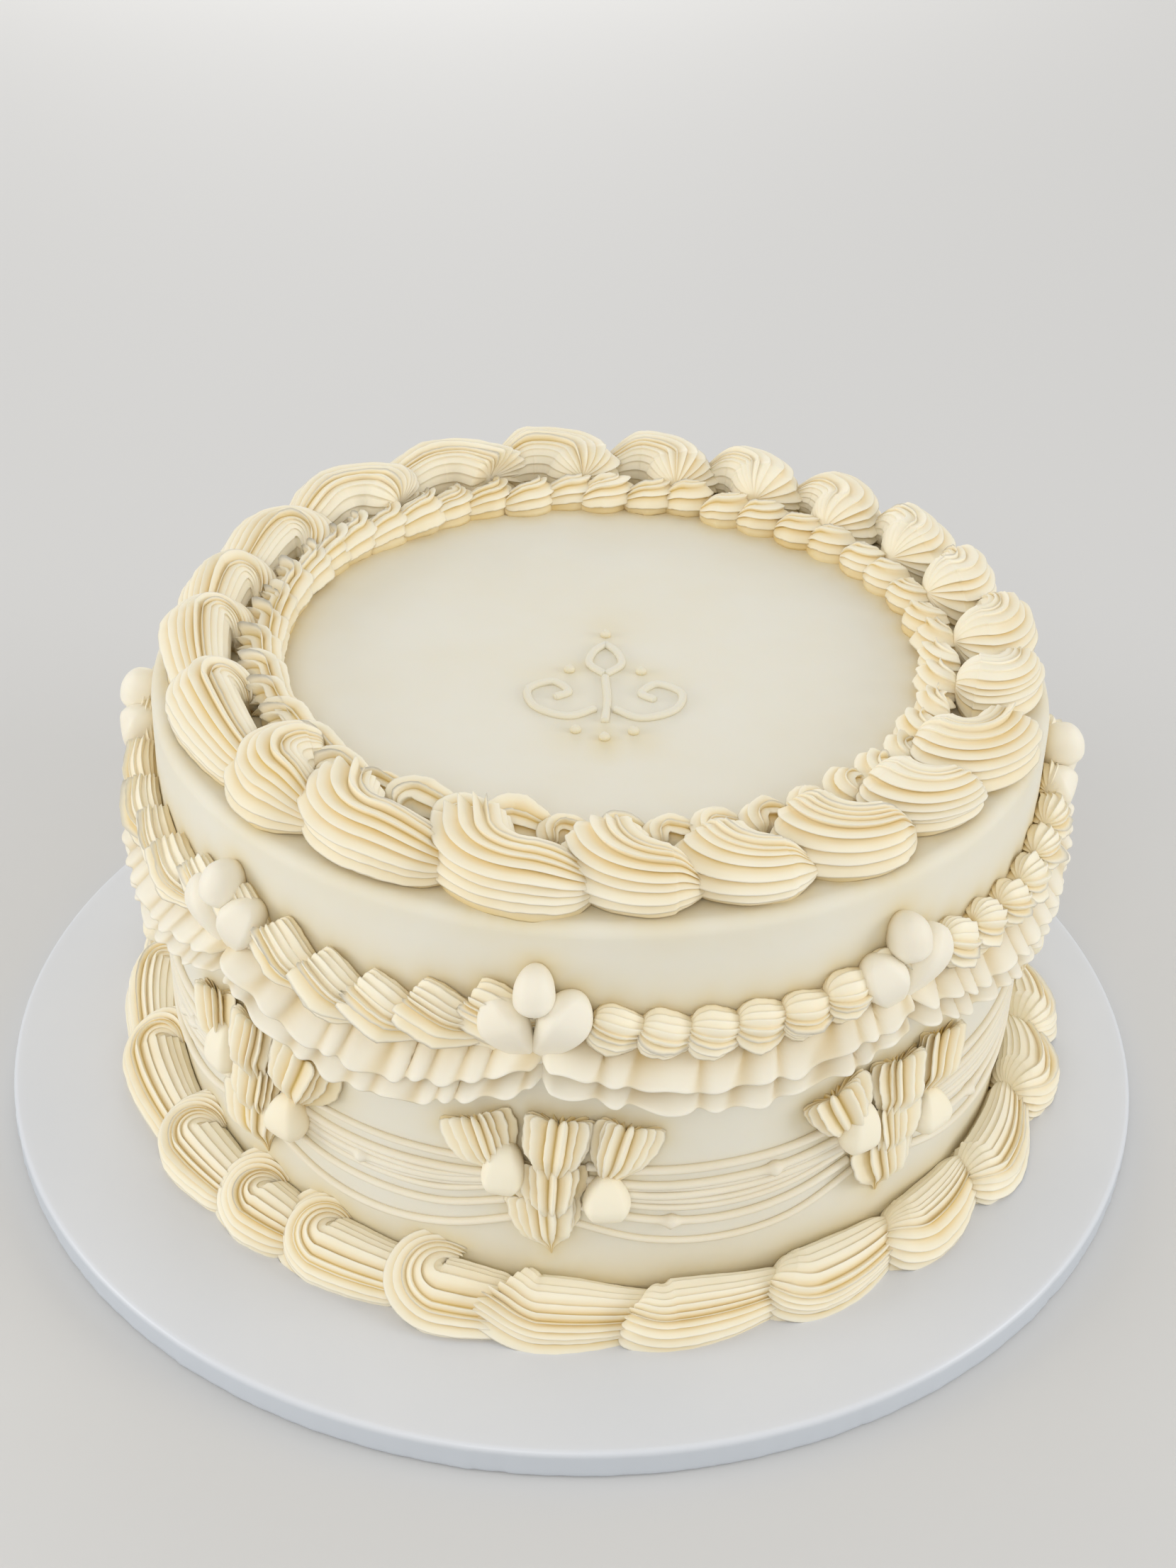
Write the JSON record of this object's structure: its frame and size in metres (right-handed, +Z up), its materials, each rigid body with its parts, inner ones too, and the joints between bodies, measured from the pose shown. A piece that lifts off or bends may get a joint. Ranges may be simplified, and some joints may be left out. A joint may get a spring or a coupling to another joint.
{
  "type": "celebration cake",
  "caption": "Tall round iced cake on a round board, piped in an old-fashioned way: turned shells round the top and foot, hanging frills and garlands, flowers and fine strings on the side.",
  "frame": {"origin": "centre of the board's underside", "axes": "+Z up through the cake; +X to the right and -Y to the viewer in the pictured front view"},
  "size_m": [0.3048, 0.3048, 0.1344],
  "materials": {
    "smooth_icing": "smooth matt buttercream, pale ivory",
    "piped_icing": "piped buttercream, soft sheen, pale butter yellow",
    "pale_icing": "piped buttercream, soft sheen, the palest cream",
    "board_wrap": "satin white wrap, pleated over the rim"
  },
  "bodies": {
    "root": {"board": "board_wrap", "cake_body": "smooth_icing", "top_shell_01": "piped_icing", "top_shell_02": "piped_icing", "top_shell_03": "piped_icing", "top_shell_04": "piped_icing", "top_shell_05": "piped_icing", "top_shell_06": "piped_icing", "top_shell_07": "piped_icing", "top_shell_08": "piped_icing", "top_shell_09": "piped_icing", "top_shell_10": "piped_icing", "top_shell_11": "piped_icing", "top_shell_12": "piped_icing", "top_shell_13": "piped_icing", "top_shell_14": "piped_icing", "top_shell_15": "piped_icing", "top_shell_16": "piped_icing", "top_shell_17": "piped_icing", "top_shell_18": "piped_icing", "top_shell_19": "piped_icing", "top_shell_20": "piped_icing", "top_shell_21": "piped_icing", "top_shell_22": "piped_icing", "base_shell_01": "piped_icing", "base_shell_02": "piped_icing", "base_shell_03": "piped_icing", "base_shell_04": "piped_icing", "base_shell_05": "piped_icing", "base_shell_06": "piped_icing", "base_shell_07": "piped_icing", "base_shell_08": "piped_icing", "base_shell_09": "piped_icing", "base_shell_10": "piped_icing", "base_shell_11": "piped_icing", "base_shell_12": "piped_icing", "base_shell_13": "piped_icing", "base_shell_14": "piped_icing", "base_shell_15": "piped_icing", "base_shell_16": "piped_icing", "base_shell_17": "piped_icing", "base_shell_18": "piped_icing", "base_shell_19": "piped_icing", "base_shell_20": "piped_icing", "base_shell_21": "piped_icing", "base_shell_22": "piped_icing", "base_shell_23": "piped_icing", "bead_ring": "piped_icing", "garland": "pale_icing", "upper_frill": "pale_icing", "lower_frill": "pale_icing", "motif_01": "piped_icing", "motif_02": "piped_icing", "motif_03": "piped_icing", "motif_04": "piped_icing", "motif_05": "piped_icing", "motif_06": "piped_icing", "motif_07": "piped_icing", "motif_08": "piped_icing"}
  },
  "joints": []
}
